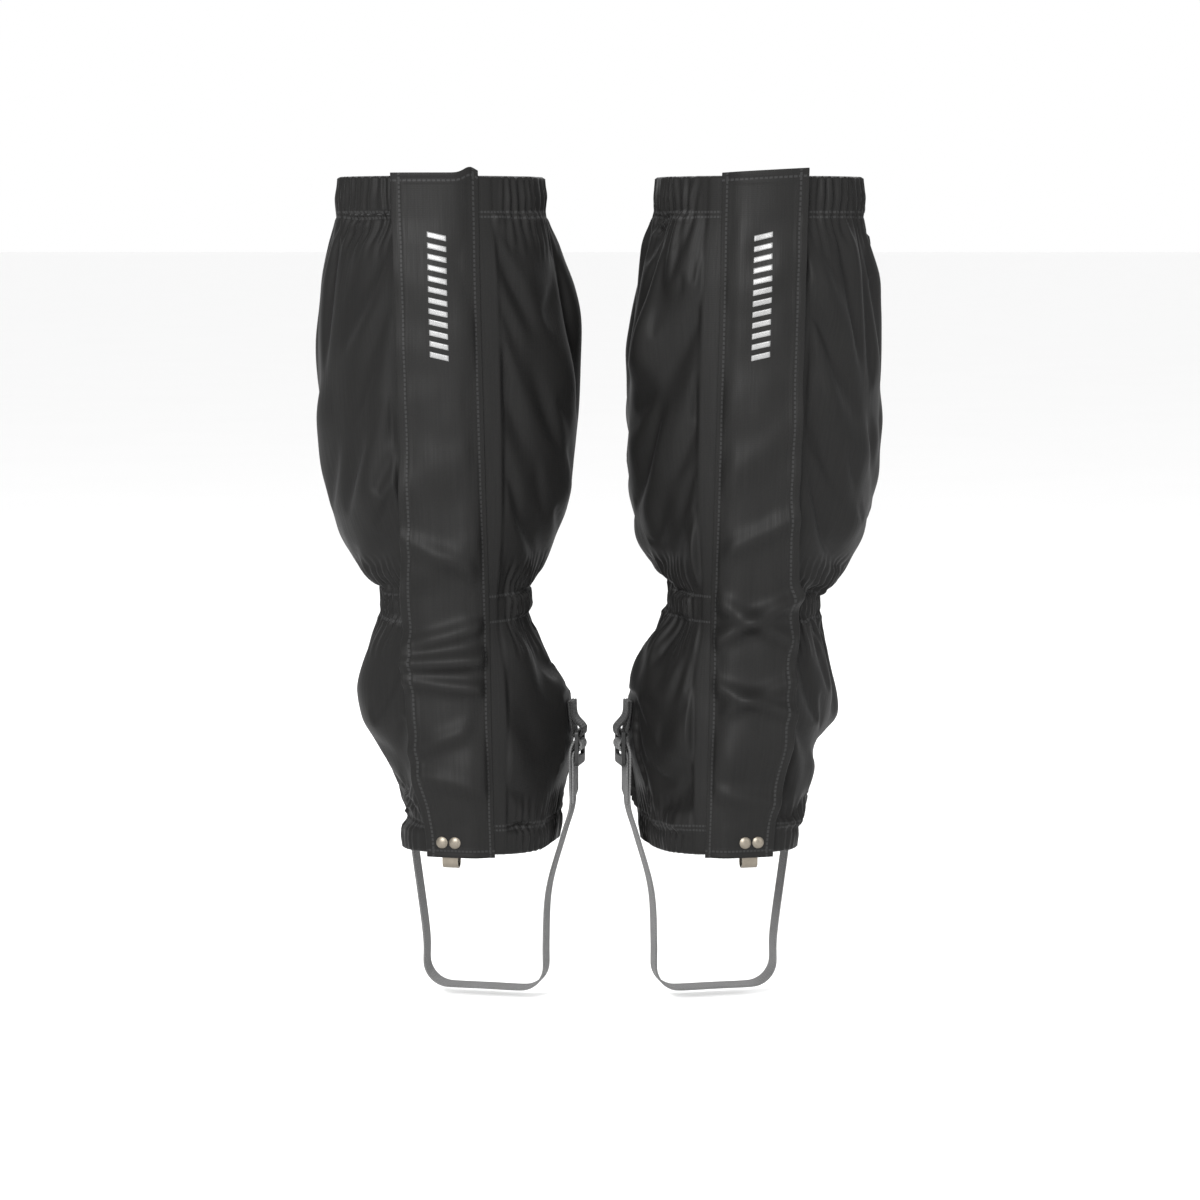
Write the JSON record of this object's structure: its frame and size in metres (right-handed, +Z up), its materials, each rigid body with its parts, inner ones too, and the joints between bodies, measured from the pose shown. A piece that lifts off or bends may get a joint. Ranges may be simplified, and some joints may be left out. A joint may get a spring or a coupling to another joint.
{
  "type": "trekking gaiters, pair",
  "caption": "Pair of knee-high black nylon trekking gaiters, worn: gathered cuff, ankle and hem, front hook-and-loop flap, lace hook and under-foot strap with ladder-lock buckle.",
  "frame": {"origin": "on the ground, midway between the wearer's boots", "axes": "+Z up along the legs; -Y the way the toes point; +X the wearer's left"},
  "size_m": [0.3642, 0.1719, 0.5257],
  "materials": {
    "nylon": "soft sheen",
    "elastic": "matte",
    "tape": "matte",
    "reflective_print": "satin",
    "nickel": "satin",
    "grey_webbing": "matte",
    "black_webbing": "matte",
    "acetal": "satin"
  },
  "bodies": {
    "gaiter_right": {"fabric_sleeve_right": "nylon", "top_elastic_right": "elastic", "ankle_elastic_right": "elastic", "hem_elastic_right": "elastic", "loop_tape_right": "tape"},
    "flap_right": {"front_flap_right": "nylon", "hook_tape_right": "tape", "reflective_mark_right": "reflective_print", "lace_hook_right": "nickel", "hook_rivet_inner_right": "nickel", "hook_rivet_outer_right": "nickel"},
    "strap_right": {"foot_strap_right": "grey_webbing", "strap_buckle_right": "acetal", "buckle_tab_right": "black_webbing"},
    "gaiter_left": {"fabric_sleeve_left": "nylon", "top_elastic_left": "elastic", "ankle_elastic_left": "elastic", "hem_elastic_left": "elastic", "loop_tape_left": "tape"},
    "flap_left": {"front_flap_left": "nylon", "hook_tape_left": "tape", "reflective_mark_left": "reflective_print", "lace_hook_left": "nickel", "hook_rivet_inner_left": "nickel", "hook_rivet_outer_left": "nickel"},
    "strap_left": {"foot_strap_left": "grey_webbing", "strap_buckle_left": "acetal", "buckle_tab_left": "black_webbing"}
  },
  "joints": [
    {"name": "flap_right_open", "type": "hinge", "parent": "gaiter_right", "child": "flap_right", "pos_m": [-0.0625, -0.08, 0.108], "axis": [-0.0225, 0.032, 0.9992], "range_deg": [0, 160]},
    {"name": "strap_right_swing", "type": "hinge", "parent": "gaiter_right", "child": "strap_right", "pos_m": [-0.135, 0.01396, 0.158], "axis": [0.9605, -0.2042, 0.189], "range_deg": [-25, 25]},
    {"name": "flap_left_open", "type": "hinge", "parent": "gaiter_left", "child": "flap_left", "pos_m": [0.0625, -0.08, 0.108], "axis": [-0.0225, -0.032, -0.9992], "range_deg": [0, 160]},
    {"name": "strap_left_swing", "type": "hinge", "parent": "gaiter_left", "child": "strap_left", "pos_m": [0.013, -0.01197, 0.182], "axis": [0.9605, 0.2042, -0.189], "range_deg": [-25, 25]},
    {"name": "left_gaiter_stride", "type": "slide", "parent": "gaiter_right", "child": "gaiter_left", "axis": [0, -1, 0], "range_m": [-0.2, 0.2]}
  ]
}
